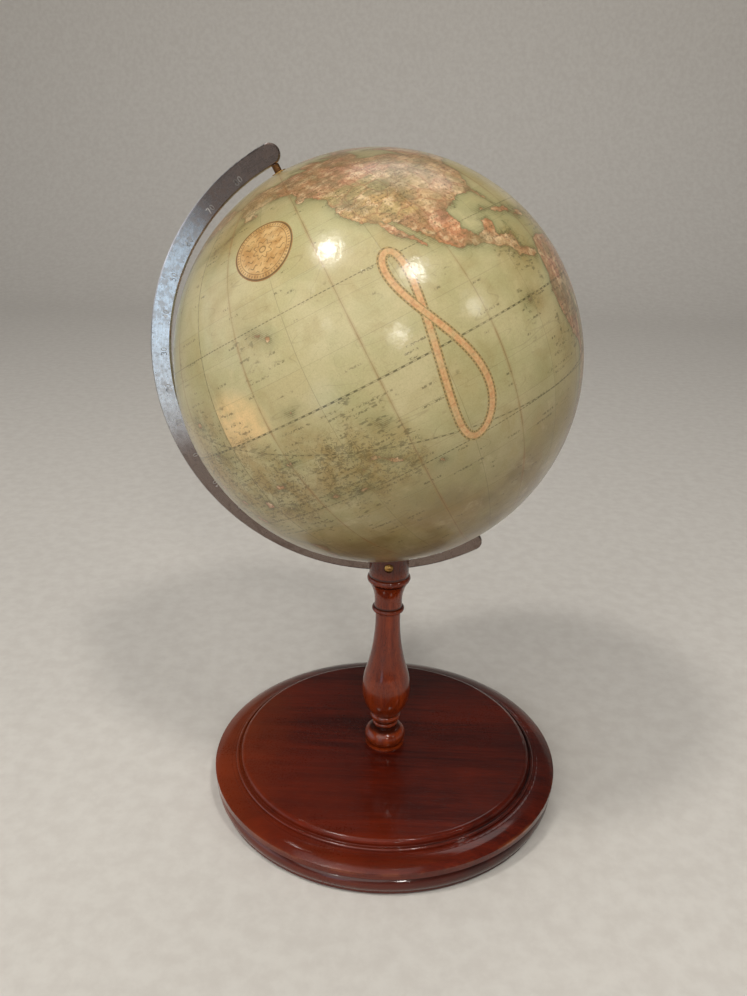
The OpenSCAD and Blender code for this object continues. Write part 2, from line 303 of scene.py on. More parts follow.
# ---- mahogany
def mahogany(name, grain, dark, light, coat_rough):
    """French polished mahogany. grain is the axis that the fibres follow: 0 for X, 2 for Z."""
    p = Paint(name, Coat_Weight=1.0, Coat_Roughness=coat_rough, Coat_IOR=1.42, Specular_IOR_Level=0.08)
    at = p.place()

    def stretched(along, across):
        scales = [across] * 3
        scales[grain] = along
        return p.vmath("MULTIPLY", at, tuple(scales))

    figure = p.noise(stretched(5, 34), 1.0, 5, 0.6, 0.8)
    streaks = p.noise(stretched(14, 300), 1.0, 4, 0.6, 0.3)
    fibre = p.noise(stretched(90, 1500), 1.0, 3, 0.6)
    pores = p.noise(stretched(220, 3300), 1.0, 2, 0.5)
    cloud = p.noise(at, 11.0, 3, 0.6)
    tone = p.add(p.mul(figure, 0.62), p.mul(streaks, 0.38))
    middle = tuple((a + b) / 2 * 0.9 for a, b in zip(dark, light))
    colour = p.stops(tone, (0.34, dark), (0.48, middle), (0.62, light))
    colour = p.mix(p.ramp(fibre, 0.35, 0.68, 0.0, 0.32), colour, tuple(c * 0.45 for c in dark))
    pore = p.ramp(pores, 0.60, 0.70)
    colour = p.over(colour, (p.mul(pore, 0.75), (22, 8, 6)), (p.ramp(cloud, 0.50, 0.72, 0.0, 0.45), (30, 9, 8)))
    return p, colour, pore, fibre, cloud


def finish_wood(p, colour, pore, fibre, cloud):
    """Polishes what mahogany returns."""
    fine = p.noise(p.place(), 900.0, 2, 0.5)
    p.set("Base Color", colour)
    p.set("Roughness", p.ramp(p.add(p.mul(cloud, 0.6), p.mul(fine, 0.4)), 0.3, 0.7, 0.25, 0.38))
    relief = p.sub(p.mul(fibre, 0.35), p.mul(pore, 0.65))
    ripple = p.noise(p.place(), 60.0, 2, 0.5)
    p.set("Normal", p.bump(relief, 0.00009, 0.5))
    p.set("Coat Normal", p.bump(p.add(ripple, p.mul(relief, 0.10)), 0.0004, 0.16))
    return p.mat


def base_wood():
    p, colour, pore, fibre, cloud = mahogany("mahogany_base", 0, lin(42, 10, 8), lin(98, 29, 13), 0.10)
    rim_r, groove_r, under_arris_z, arris_z = 85.0 * MM, 86.2 * MM, 11.6 * MM, 15.0 * MM
    x, y, z = p.split(p.place())
    r = p.radius(x, y)
    rough_edge = p.noise(p.place(), 45.0, 4, 0.6)
    # Painted shade darkens the groove and the strip under the arris.
    groove_shade = p.band(p.sub(r, groove_r), 0.0008, 0.0014)
    under_arris_shade = p.mul(p.band(p.sub(z, under_arris_z), 0.0004, 0.0016), p.ramp(r, 0.095, 0.0965))
    darkening = p.mul(p.most(groove_shade, under_arris_shade), p.ramp(rough_edge, 0.25, 0.6, 0.35, 0.9))
    # The arris is worn through to pale wood here and there.
    worn = p.mul(p.band(p.sub(z, arris_z), 0.0005, 0.0022), p.ramp(r, 0.0985, 0.0998))
    worn = p.mul(worn, p.ramp(rough_edge, 0.45, 0.62), 0.6)
    # The polish is rubbed dull round the rim of the flat top.
    p.set("Coat Weight", p.ramp(p.band(p.sub(r, rim_r), 0.0014, 0.0012), 0.0, 1.0, 1.0, 0.25))
    # Painted shade darkens the plinth.
    plinth_shade = p.mul(p.ramp(z, 0.0125, 0.0115), p.ramp(rough_edge, 0.3, 0.6, 0.35, 0.75))
    # A warm flame of lighter sapwood towards the arm's side.
    sap = p.mul(p.ramp(x, -0.045, -0.105), p.ramp(rough_edge, 0.3, 0.75, 0.45, 0.95), 0.75)
    flame = p.mul(p.ramp(p.add(x, y), -0.015, -0.125), p.ramp(rough_edge, 0.25, 0.7, 0.5, 1.0), 0.55)
    # The first and third coats below are painted shade.
    colour = p.over(
        colour, (darkening, (18, 9, 8)), (worn, (150, 84, 44)), (plinth_shade, (44, 26, 22)), (sap, (132, 62, 26)),
        (flame, (112, 36, 14)),
    )
    return finish_wood(p, colour, pore, fibre, cloud)


def pillar_wood():
    p, colour, pore, fibre, cloud = mahogany("mahogany_pillar", 2, lin(86, 24, 8), lin(150, 58, 19), 0.07)
    _, _, z = p.split(p.place())
    # Height and half width of the grooves, which are painted darker as shade.
    grooves = ((0.0344, 0.0011), (0.0390, 0.0006), (0.0444, 0.0006), (0.1105, 0.0005), (0.1140, 0.0005),
               (0.1286, 0.0005), (0.1334, 0.0005))
    darkening = p.most(*[p.band(p.sub(z, at), half, 0.0010) for at, half in grooves])
    # Painted shade darkens the capital, under the ball.
    capital_shade = p.mul(p.ramp(z, 0.1335, 0.1385), 0.5)
    # Both coats below are painted shade.
    colour = p.over(colour, (p.mul(darkening, 0.8), (24, 10, 8)), (capital_shade, (40, 17, 10)))
    return finish_wood(p, colour, pore, fibre, cloud)


# ---- metals
def metal(name, colour, tarnish, rough, amount, brush=None, sheen_mask=None):
    """A worn metal. brush gives a vector stretched along the marks of working; the last argument says where a painted
    reflection lightens it.
    """
    p = Paint(name, Metallic=1.0)
    at = p.place()
    blotch = p.noise(at, 420.0, 5, 0.65)
    wide = p.noise(at, 26.0, 3, 0.6)
    darkening = p.mul(p.ramp(p.add(p.mul(blotch, 0.6), p.mul(wide, 0.4)), 0.46, 0.66), amount)
    lines = p.noise(brush(p) if brush else p.vmath("MULTIPLY", at, (2500, 2500, 300)), 1.0, 3, 0.6)
    specks = p.ramp(p.cells(at, 700.0), 0.16, 0.08)
    colour = p.mix(p.ramp(lines, 0.3, 0.7, 0.0, 0.30), colour, tuple(c * 0.72 for c in colour))
    colour = p.mix(darkening, colour, tarnish)
    # Painted reflection and highlight: lightens the colour towards near white.
    if sheen_mask:
        colour = p.mix(sheen_mask(p, blotch), colour, lin(206, 205, 206))
    colour = p.mix(p.mul(specks, 0.6), colour, tuple(c * 0.3 for c in tarnish))
    p.set("Base Color", colour)
    spread = p.add(p.mul(lines, 0.5), p.mul(darkening, 0.6))
    p.set("Roughness", p.ramp(spread, 0.1, 0.7, rough, rough + 0.24))
    p.set("Normal", p.bump(p.sub(lines, p.mul(specks, 1.2)), 0.00002, 0.5))
    return p.mat


def from_centre(p):
    """The way from the ball's middle, its three parts, and its length in the arm's plane."""
    at = p.vmath("SUBTRACT", p.place(), tuple(CENTRE))
    x, y, z = p.split(at)
    return at, x, y, z, p.radius(x, z)


def round_the_arm(p):
    """Polishing marks that follow the arm's curve."""
    _, x, y, z, r = from_centre(p)
    return p.join(p.mul(r, 5200), p.mul(y, 2600), p.mul(p.math("ARCTAN2", z, x), 9))


def handled(p, blotch):
    """Painted reflection on a stretch of the arm and painted highlights on its edges, lightening the colour."""
    at, _, _, _, r = from_centre(p)
    brightest = math.radians(54)  # from the north pivot
    way = math.cos(brightest) * AXIS + math.sin(brightest) * ARM_SIDE
    towards = p.vmath("DOT_PRODUCT", p.vmath("NORMALIZE", at), tuple(way))
    # Painted reflection over the brightest stretch of the arm.
    reflection_stretch = p.mul(p.ramp(towards, 0.80, 0.965), p.ramp(blotch, 0.30, 0.62, 1.0, 0.72))
    # Painted highlight along the outer and inner bevelled edges.
    outer = p.ramp(r, ARM_OUTER - 0.45 * MM, ARM_OUTER - 0.25 * MM)
    inner = p.ramp(r, ARM_INNER + 0.45 * MM, ARM_INNER + 0.25 * MM)
    edge_highlight = p.most(outer, inner)
    return p.most(reflection_stretch, p.mul(edge_highlight, 0.75))


def core_wood():
    """Bare pale wood under a trace of oil."""
    p, colour, pore, fibre, _ = mahogany("core_wood", 2, lin(150, 112, 70), lin(196, 156, 104), 0.4)
    p.set("Coat Weight", 0.1)
    p.set("Base Color", colour)
    p.set("Roughness", p.ramp(fibre, 0.3, 0.7, 0.6, 0.85))
    p.set("Normal", p.bump(p.sub(fibre, pore), 0.0001, 0.6))
    return p.mat


def pulp(name, colour, second, scale, bump):
    """Papier mache or plaster, mottled."""
    p = Paint(name)
    at = p.place()
    a = p.noise(at, scale, 6, 0.65)
    b = p.noise(at, scale * 6, 3, 0.5)
    p.set("Base Color", p.mix(p.ramp(p.add(p.mul(a, 0.6), p.mul(b, 0.4)), 0.35, 0.65), colour, second))
    p.set("Roughness", p.ramp(b, 0.3, 0.7, 0.75, 0.95))
    p.set("Normal", p.bump(p.add(a, p.mul(b, 0.5)), bump, 0.7))
    return p.mat


def baize():
    p = Paint("baize", Sheen_Weight=0.4, Sheen_Roughness=0.5)
    at = p.place()
    weave = p.noise(p.vmath("MULTIPLY", at, (2600, 900, 900)), 1.0, 3, 0.6)
    fluff = p.noise(at, 420.0, 5, 0.7)
    wear = p.noise(at, 30.0, 4, 0.6)
    colour = p.mix(p.ramp(fluff, 0.3, 0.7), lin(30, 58, 34), lin(58, 88, 52))
    p.set("Base Color", p.over(colour, (p.ramp(wear, 0.5, 0.75, 0.0, 0.5), (74, 80, 54))))
    p.set("Roughness", p.ramp(weave, 0.3, 0.7, 0.85, 1.0))
    p.set("Normal", p.bump(p.add(weave, fluff), 0.0003, 0.8))
    return p.mat


# ---- coastlines, longitude and latitude
LANDS = {
    "north_america": [
        (-168, 66), (-156, 71), (-141, 69.5), (-128, 70), (-115, 68), (-96, 68), (-95, 72), (-82, 69),
        (-87, 64), (-94, 60), (-92, 57), (-82, 55), (-79.5, 51.5), (-77, 58), (-78, 62.4), (-70, 60),
        (-65, 60), (-56, 52.5), (-66, 50), (-70, 47), (-64, 48), (-61, 45.5), (-66, 43.5), (-70.5, 43),
        (-74, 40.5), (-76, 36), (-81, 31.5), (-80.4, 25.2), (-83.5, 30), (-89.5, 30), (-97.3, 27.5),
        (-97.5, 21.5), (-95, 18.4), (-91.5, 18.5), (-90, 21.3), (-87, 21), (-88.3, 16), (-83.3, 15),
        (-83.5, 10.8), (-79.3, 9.5), (-77, 8.3), (-80, 7.2), (-85.8, 10), (-87.6, 13), (-92, 14.5),
        (-95, 16.1), (-101, 17.3), (-105.6, 20.5), (-109, 26), (-113, 31.3), (-114.8, 31.3), (-110, 24),
        (-110, 22.8), (-115, 28), (-117.2, 32.5), (-120.6, 34.5), (-124, 40), (-124.5, 48), (-128, 51),
        (-134.5, 58.5), (-146, 61), (-152, 60), (-158, 56.5), (-164, 54.6), (-158, 58.5), (-165, 61),
        (-161, 64.3),
    ],
    "south_america": [
        (-77, 8.3), (-75, 11), (-71.5, 12), (-62, 10.5), (-57, 6), (-51, 4), (-50, 0), (-44, -2.5),
        (-35.2, -6), (-39, -14), (-41, -22), (-48.5, -26), (-53.5, -33.5), (-58, -36), (-62, -39), (-65, -43),
        (-66, -48), (-69, -51), (-66, -55), (-73, -53), (-75, -47), (-73, -38), (-71, -30), (-69.5, -19),
        (-75, -14), (-79, -7), (-80, -2), (-77.5, 3),
    ],
    "greenland": [
        (-73, 78.5), (-60, 82), (-35, 83.5), (-20, 80), (-22, 72), (-43, 60), (-51, 64), (-54, 70), (-66, 76),
    ],
    "baffin": [(-80, 73.5), (-70, 70.5), (-62, 66), (-66, 62.5), (-74, 65), (-88, 70.5)],
    "victoria": [(-117, 73), (-104, 73), (-102, 69), (-116, 68.7)],
    "ellesmere": [(-90, 76.5), (-78, 76.5), (-66, 82), (-90, 82), (-95, 79)],
    "eurasia": [
        (190, 66), (180, 69), (160, 69.7), (140, 72.5), (130, 71.5), (113, 74), (104, 77.5), (80, 72.5),
        (68, 72), (66, 69), (54, 68.5), (44, 66.5), (38, 64), (33, 66.7), (40, 67.5), (26, 71), (15, 68),
        (5, 62), (6, 58.3), (11, 59), (12.8, 55.6), (16.5, 56.8), (18.8, 60), (22, 65.6), (25, 65), (22, 60.5),
        (30, 60), (23.5, 58), (20, 54.6), (11, 54), (10.5, 57.5), (8.2, 55), (4, 52), (-1.5, 49.5), (-4.7, 48.5),
        (-1.5, 44), (-9, 43.3), (-9.2, 37.5), (-2, 36.8), (0, 39.5), (3.5, 43), (9, 44.3), (15.8, 40), (16, 38),
        (18.3, 40), (12.5, 44.8), (19.4, 42), (22, 36.8), (24, 40.5), (27, 37), (36, 36.7), (34.3, 31.2),
        (35, 28), (39, 21.5), (43.5, 12.8), (52, 16.5), (59.8, 22.5), (56, 26), (51, 24.5), (48, 30), (57, 27),
        (66.8, 25), (72.8, 19), (77.5, 8), (80.2, 14), (87, 21.5), (92, 21.5), (94.3, 16), (98, 16), (98.5, 8),
        (103.5, 1.4), (100.5, 13.5), (105, 8.8), (109.2, 12), (106, 19), (114, 22.3), (121.5, 28), (119.5, 35),
        (122, 37), (118, 39), (124, 39.8), (126.5, 34.5), (129.3, 36), (128, 40), (135, 44), (140.5, 50),
        (136, 54), (143, 59.3), (156, 60), (163, 62), (156, 56), (156.7, 51), (163, 57), (170, 60), (179, 62.5),
    ],
    "africa": [
        (-6, 35.8), (10.5, 37.2), (11, 33), (19, 30.3), (32, 31.2), (37.2, 21), (43.2, 11.7), (51.2, 11.8),
        (42, -1), (39, -6), (40.5, -14.5), (35, -20), (35.3, -24), (28, -33), (20, -34.8), (17.5, -31),
        (12, -17.5), (13.5, -10), (9, -1), (9, 4.3), (-7.7, 4.6), (-13, 8.5), (-17.3, 14.7), (-16.5, 21),
        (-9.8, 31),
    ],
    "australia": [
        (114, -22), (122, -18), (129, -15), (131, -11.7), (136, -12.3), (136, -15.5), (140.5, -17.5),
        (142.4, -10.8), (146, -19), (153, -26), (150, -37), (144, -38.7), (136, -34), (131, -31.5), (118, -35),
        (115, -34),
    ],
    "madagascar": [(49.5, -12.5), (50.3, -16), (47, -25), (44, -23), (44.3, -17)],
    "borneo": [(109, 1.5), (113, 3), (117, 7), (118.8, 4), (116, -3.5), (110.5, -3)],
    "new_guinea": [(131, -1), (138, -1.8), (147, -6), (150.5, -10.5), (143, -8.8), (138, -8), (133, -4)],
    "sumatra": [(95.5, 5.5), (101, 2), (106, -3), (105.5, -5.8), (101, -2.5)],
    "honshu": [(130.5, 31.2), (131, 34.3), (136, 36), (140, 41), (141.8, 39.5), (140.5, 35.5), (135.5, 33.7)],
    "britain": [(-5.5, 50), (-3, 53.5), (-6, 57), (-3, 58.6), (1.5, 52.5), (1.3, 51)],
    "new_zealand_north": [(173, -34.6), (178.3, -37.7), (175, -41.4), (173.8, -39.3)],
    "new_zealand_south": [(172.7, -40.6), (174.2, -41.8), (170, -46.5), (166.6, -46), (170.5, -43)],
}
# Islands: longitude, latitude, half length, half width in degrees, turn from east.
ISLANDS = [
    (-79, 22, 5, 0.9, -14), (-71, 19, 2.6, 1, 0), (-56, 48.5, 2.4, 2, 0), (-126, 49.8, 2, 0.7, -38),
    (-18.5, 65, 3, 1.7, 0), (-8, 53.3, 1.6, 1.8, 0), (18, 78.5, 3, 1.6, 0), (58, 73.5, 4.6, 1.1, 50),
    (143, 43.4, 2, 1.4, 0), (143, 50.5, 0.8, 3.6, 0), (121, 23.7, 0.7, 1.5, 0), (121, 16, 1.4, 2.8, 0),
    (125, 8, 1.8, 1.9, 0), (121, -1.5, 2, 2.2, 40), (110, -7.3, 4, 0.7, -8), (146.7, -42, 1.7, 1.5, 0),
    (80.7, 7.5, 0.9, 1.6, 0), (-155.5, 19.6, 0.8, 0.7, 0), (-158, 21.4, 0.9, 0.4, -30), (178, -17.8, 1.2, 0.8, 0),
    (165.5, -21.3, 2, 0.5, -38), (160, -9.4, 1.4, 0.5, -30), (167, -15.4, 0.6, 1.1, 60), (-172.3, -13.7, 0.9, 0.4, 0),
    (-149.4, -17.7, 0.6, 0.5, 0), (-139.2, -9.6, 0.8, 0.5, -40), (-91, -0.6, 0.9, 0.8, 0), (-175, 52, 1.4, 0.4, 10),
    (-168, 53.2, 1.3, 0.5, 30), (-153.5, 57.5, 1.3, 0.9, 40), (-132, 53.2, 0.9, 1.5, 0), (-59, -51.8, 1.6, 0.8, 0),
    (-175, -20.5, 0.5, 0.8, 60), (-144, -16.5, 1.7, 0.35, -28), (-140.5, -19, 1.2, 0.3, -30),
    (-157.4, 1.9, 0.5, 0.3, 0), (172, -1, 0.4, 1.2, 70), (169, 8, 0.5, 1.1, 70), (-160, -21.5, 0.6, 0.4, 0),
    (-171, -4, 0.6, 0.4, 0), (-165, -9, 0.5, 0.3, 0), (-151.5, -23, 0.7, 0.3, 0), (-130, -24.5, 0.4, 0.3, 0),
]


def coast_distance(m):
    """Degrees to the nearest coast, more than 0 on land, for unit vectors in map space."""
    lat, lon = degrees_of(m)
    land = np.zeros(len(m), bool)
    marks, along = [], []
    for outline in LANDS.values():
        ends = np.array(outline, float)
        ax, ay = ends.T
        bx, by = np.roll(ends, -1, 0).T
        for shift in (0.0, 360.0):
            x = lon + shift
            near = (x > ax.min()) & (x < ax.max()) & (lat > ay.min()) & (lat < ay.max())
            px, py = x[near][:, None], lat[near][:, None]
            up = (ay > py) != (by > py)
            step = np.where(by == ay, 1.0, by - ay)
            crossing = px < ax + (py - ay) * (bx - ax) / step
            land[near] |= (up & crossing).sum(1) % 2 == 1
        for (x0, y0), (x1, y1) in zip(ends, np.roll(ends, -1, 0)):
            width = (x1 - x0) * math.cos(math.radians((y0 + y1) / 2))
            count = max(2, int(math.hypot(width, y1 - y0) / 0.5))
            t = np.arange(count) / count
            points = unit(y0 + (y1 - y0) * t, x0 + (x1 - x0) * t)
            way = unit(y1, x1) - unit(y0, x0)
            marks.append(points)
            along.append(np.tile(way / np.linalg.norm(way), (count, 1)))
    marks, along = np.concatenate(marks), np.concatenate(along)
    tree = KDTree(len(marks))
    for i, q in enumerate(marks):
        tree.insert(q, i)
    tree.balance()
    nearest = np.array([tree.find(v)[1] for v in m])
    gap = m - marks[nearest]
    gap -= (gap * along[nearest]).sum(1)[:, None] * along[nearest]
    far = np.degrees(np.linalg.norm(gap, axis=1))
    d = np.where(land, far, -far)
    for x0, y0, long_half, short_half, angle in ISLANDS:
        x = ((lon - x0 + 180) % 360 - 180) * math.cos(math.radians(y0))
        y = lat - y0
        c, s = math.cos(math.radians(angle)), math.sin(math.radians(angle))
        u, v = (x * c + y * s) / long_half, (-x * s + y * c) / short_half
        d = np.maximum(d, (1 - np.hypot(u, v)) * min(long_half, short_half))
    ice = -71 + 3.5 * np.sin(np.radians(lon + 40)) - 2.5 * np.sin(np.radians(2 * lon)) - lat
    return np.clip(np.maximum(d, ice), -12, 12)


def busy_sea(m):
    """How crowded with small islands and engraved marks the sea is, 0 to 1."""
    seas = (  # longitude, latitude, spread in degrees, amount
        (-174, -15, 15, 0.95), (-152, -16, 14, 1.0), (-139, -20, 10, 0.75), (-178, -4, 11, 0.7),
        (165, -10, 20, 0.95), (172, 5, 12, 0.7), (-160, -6, 9, 0.6), (-88, -1, 6, 0.6), (-85, 13, 7, 0.9),
        (-81, -14, 8, 0.6), (-160, 20, 6, 0.5), (-62, 15, 9, 0.8), (125, 0, 18, 0.9), (15, 38, 14, 0.5),
        (-172, 52, 8, 0.5),
    )
    out = np.zeros(len(m))
    for lon, lat, size, amount in seas:
        at = unit(lat, lon)
        away = np.degrees(np.arccos(np.clip(m @ at, -1, 1)))
        out = np.maximum(out, amount * np.exp(-((away / size) ** 2)))
    return out


# ---- printed and varnished paper
INK = (64, 56, 36)
VARNISH = {"Coat_Roughness": 0.19, "Coat_IOR": 1.42, "Specular_IOR_Level": 0.14}


def varnished(p, colour, ink):
    """Ages a printed surface and gives it its cracked old varnish."""
    m = p.attribute("mapdir")
    broad = p.noise(m, 1.7, 4, 0.6)
    patch = p.noise(m, 5.5, 5, 0.62, 0.4)
    grain = p.noise(m, 150.0, 4, 0.7)
    speck = p.cells(m, 46.0)
    cracks = p.band(p.cells(m, 62.0, "DISTANCE_TO_EDGE"), 0.012, 0.02)
    worn = p.ramp(p.noise(m, 9.0, 3, 0.6), 0.52, 0.66)
    cracked = p.mul(cracks, worn)
    p.set("Base Color", p.over(
        colour,
        (p.ramp(broad, 0.44, 0.70, 0.0, 0.30), (176, 142, 88)),
        (p.ramp(patch, 0.50, 0.72, 0.0, 0.34), (150, 130, 78)),
        (p.ramp(patch, 0.44, 0.30, 0.0, 0.25), (206, 190, 148)),
        (p.ramp(grain, 0.36, 0.66, 0.0, 0.16), (112, 100, 62)),
        (p.mul(p.ramp(speck, 0.10, 0.05), 0.35), (110, 82, 44)),
        (ink, INK),
        (p.mul(cracked, 0.22), (84, 68, 40)),
    ))
    p.set("Roughness", p.ramp(grain, 0.3, 0.7, 0.31, 0.40))
    p.set("Coat Weight", p.ramp(p.add(p.mul(patch, 0.7), p.mul(grain, 0.3)), 0.35, 0.65, 1.0, 0.72))
    relief = p.sub(p.mul(p.noise(m, 34.0, 3, 0.5), 0.8), p.mul(cracked, 0.35))
    p.set("Coat Normal", p.bump(relief, 0.0006, 0.22))
    p.set("Normal", p.bump(p.add(grain, p.mul(ink, -0.2)), 0.0001, 0.4))


def map_paper():
    p = Paint("map_paper", **VARNISH)
    m = p.vmath("NORMALIZE", p.attribute("mapdir"))
    x, y, z = p.split(m)
    lat = p.math("DEGREES", p.math("ARCSINE", z))
    lon = p.math("DEGREES", p.math("ARCTAN2", y, x))
    across = p.math("SQRT", p.sub(1.0, p.mul(z, z)))
    coast = p.attribute("coast", "Fac")
    busy = p.attribute("busy", "Fac")
    tint = p.attribute("tint", "Color")

    def wander(scale, detail, rough, amount):
        """Noise about 0, amount from end to end."""
        return p.mul(p.sub(p.noise(m, scale, detail, rough), 0.5), amount)

    # Coasts, with the ragged edge that the coarse outlines lack.
    edge = p.add(coast, p.add(wander(19.0, 7, 0.62, 3.4), wander(90.0, 3, 0.6, 0.9)))
    land = p.ramp(edge, -0.05, 0.05)
    sea = p.sub(1.0, land)
    shore = p.band(edge, 0.10, 0.10)

    # Countries and states: irregular cells with their own wash of colour.
    warp = p.vmath("ADD", m, p.vmath("SCALE", p.bend(m, 8.0), 0.10))
    cell = p.split(p.cells(warp, 11.0, "F1", "Color"))[0]
    wash = p.stops(
        cell, (0.0, lin(192, 136, 106)), (0.28, lin(186, 160, 112)), (0.50, lin(196, 144, 112)),
        (0.66, lin(152, 152, 108)), (0.82, lin(190, 146, 96)),
    )
    to_border = p.cells(warp, 11.0, "DISTANCE_TO_EDGE")
    border = p.band(to_border, 0.012, 0.012)
    inner = p.band(p.cells(warp, 34.0, "DISTANCE_TO_EDGE"), 0.018, 0.02)
    rim = p.ramp(to_border, 0.10, 0.01)
    mottle = p.noise(m, 21.0, 6, 0.68, 0.3)
    ground = p.over(
        p.mix(0.42, tint, wash),
        (p.mul(rim, 0.35), (184, 112, 82)),
        (p.ramp(edge, 1.1, 0.0, 0.0, 0.40), (180, 118, 80)),
        (p.ramp(mottle, 0.48, 0.66, 0.0, 0.50), (122, 108, 70)),
        (p.ramp(p.noise(m, 74.0, 4, 0.7), 0.48, 0.64, 0.0, 0.30), (112, 76, 52)),
        (p.ramp(mottle, 0.50, 0.36, 0.0, 0.75), (234, 204, 160)),
        (p.ramp(p.noise(m, 9.0, 3, 0.5), 0.46, 0.66, 0.0, 0.55), (124, 116, 82)),
    )

    # Water, greener along the shores, each plot between the lines faded its own way.
    water = p.mix(p.ramp(p.noise(m, 3.1, 4, 0.6), 0.36, 0.64), lin(188, 177, 133), lin(172, 165, 118))
    plot = p.node("TexWhiteNoise", noise_dimensions="2D")
    column, line = p.math("DIVIDE", lon, 15.0), p.math("DIVIDE", lat, 10.0)
    p.feed(plot.inputs["Vector"], p.join(p.math("FLOOR", column), p.math("FLOOR", line), 0.0))
    # A buff stain fills the corner between the 180 degree meridian and the equator.
    stain_at = unit(2.5, -175.0)
    near = p.vmath("DOT_PRODUCT", m, tuple(stain_at))
    stain = p.mul(p.ramp(near, 0.976, 0.998), p.ramp(p.noise(m, 12.0, 3), 0.3, 0.6, 0.45, 0.95))
    past_180 = p.mul(p.ramp(p.add(lon, 180.0), 0.0, 0.25), p.ramp(lon, 0.0, -1.0))
    # Dirt settles in the crowded seas.
    silt = p.mul(p.ramp(p.noise(m, 9.0, 5, 0.65, 0.4), 0.36, 0.62, 0.25, 1.0), p.ramp(busy, 0.10, 0.9))
    water = p.over(
        water,
        (p.ramp(edge, -3.6, 0.0, 0.0, 0.42), (128, 134, 92)),
        (p.ramp(edge, -0.9, 0.0, 0.0, 0.35), (98, 92, 60)),
        (p.ramp(plot.outputs["Value"], 0.55, 1.0, 0.0, 0.16), (214, 196, 160)),
        (p.ramp(plot.outputs["Value"], 0.45, 0.0, 0.0, 0.14), (176, 146, 92)),
        (p.mul(stain, past_180, p.ramp(lat, 0.0, 0.25, 0.3, 1.0)), (238, 202, 144)),
        (p.mul(silt, 0.66), (144, 112, 50)),
    )
    colour = p.mix(land, water, ground)
    # Painted shade darkens and browns the underside; the colour is also darker and browner towards the top.
    ends = p.most(p.ramp(lat, -10.0, -48.0), p.ramp(lat, 36.0, 66.0, 0.0, 0.55))
    shade_and_browning = p.mul(ends, p.ramp(p.noise(m, 4.0, 4, 0.6), 0.3, 0.65, 0.6, 1.0), 0.84)
    colour = p.mix(shade_and_browning, colour, lin(102, 80, 42))

    # Rivers, hachured hills and the engraver's small marks.
    rivers = p.band(p.sub(p.noise(m, 15.0, 5, 0.55, 0.6), 0.5), 0.006, 0.008)
    hachures = p.ramp(p.noise(p.vmath("MULTIPLY", m, (210, 210, 520)), 1.0, 2, 0.5), 0.50, 0.62)
    hills = p.mul(p.ramp(p.noise(m, 7.0, 4, 0.6), 0.52, 0.62), hachures)
    rows = p.math("DIVIDE", lat, 1.4)
    row = p.math("FLOOR", rows)
    inside_row = p.band(p.sub(p.math("FRACT", rows), 0.5), 0.19, 0.16)
    dashes = p.ramp(p.noise(p.join(p.mul(lon, 1.7), p.mul(row, 7.31), p.mul(lat, 1.3)), 1.0, 2, 0.7), 0.48, 0.56)
    runs_sea = p.noise(p.join(p.mul(lon, 0.10), p.mul(row, 3.17), 4.0), 1.0, 1, 0.5)
    runs_land = p.noise(p.join(p.mul(lon, 0.22), p.mul(row, 3.17), 9.0), 1.0, 1, 0.5)
    busy_level = p.sub(0.655, p.mul(busy, 0.20))
    marks_sea = p.mul(sea, p.ramp(p.sub(runs_sea, busy_level), 0.0, 0.02))
    marks_land = p.mul(land, p.ramp(runs_land, 0.47, 0.50))
    marks = p.mul(inside_row, dashes, p.most(marks_sea, marks_land))
    crowded = p.ramp(p.add(p.mul(busy, 0.4), p.noise(m, 11.0, 3)), 0.68, 0.76)
    islets = p.mul(p.ramp(p.cells(m, 33.0), 0.14, 0.07), crowded)
    blots = p.ramp(p.noise(p.join(p.mul(lon, 0.42), p.mul(lat, 1.05), 7.0), 1.0, 2, 0.6), 0.54, 0.62)
    thick = p.ramp(p.add(p.mul(busy, 0.42), p.noise(m, 7.0, 3, 0.5)), 0.64, 0.74)
    words = p.mul(blots, sea, thick, p.ramp(p.noise(m, 26.0, 3, 0.6), 0.36, 0.50))
    reefs = p.mul(p.band(p.sub(p.noise(m, 24.0, 5, 0.65, 0.5), 0.5), 0.014, 0.02), p.ramp(busy, 0.35, 0.8))
    flow = p.noise(p.vmath("MULTIPLY", m, (0.6, 0.6, 4.6)), 1.5, 1, 0.4)
    currents = p.mul(p.band(p.fold(flow, 0.030), 0.0010, 0.0016), sea)
    hatching = p.mul(p.band(p.fold(lat, 0.21), 0.07, 0.06), p.ramp(edge, -1.5, -0.2), sea)

    # The net of meridians and parallels, and the graduated circles.
    meridians = p.mul(p.band(p.mul(p.fold(lon, 7.5), across), 0.075, 0.06), p.ramp(across, 0.16, 0.22))
    parallels = p.band(p.fold(lat, 5.0), 0.06, 0.05)
    tropic = 23.45
    c, s = math.cos(math.radians(tropic)), math.sin(math.radians(tropic))
    ecliptic_pole, ecliptic_side = (0.0, -s, c), (0.0, c, s)
    off = p.math("DEGREES", p.math("ARCSINE", p.vmath("DOT_PRODUCT", m, ecliptic_pole)))
    run = p.math("DEGREES", p.math("ARCTAN2", p.vmath("DOT_PRODUCT", m, ecliptic_side), x))

    def scale(distance, length, half, step):
        """Two fine lines with every other degree between them filled in."""
        rails = p.band(p.sub(p.math("ABSOLUTE", distance), half), 0.05, 0.06)
        fill = p.mul(p.band(distance, half, 0.05), p.ramp(p.fold(length, step), step * 0.45, step * 0.55))
        return p.most(p.mul(rails, 0.8), fill)

    equator = scale(lat, lon, 0.19, 1.0)
    ecliptic = scale(off, run, 0.15, 1.0)
    date_line = p.mul(scale(p.mul(p.fold(p.sub(lon, 180.0), 180.0), across), lat, 0.14, 1.0), 0.9)
    tropic_gap = p.sub(p.math("ABSOLUTE", lat), tropic)
    polar_gap = p.sub(p.math("ABSOLUTE", lat), 90 - tropic)
    dotted = p.ramp(p.fold(lon, 0.6), 0.16, 0.30, 0.25, 1.0)
    tropics = p.mul(p.most(p.band(tropic_gap, 0.13, 0.08), p.band(polar_gap, 0.11, 0.08)), dotted)

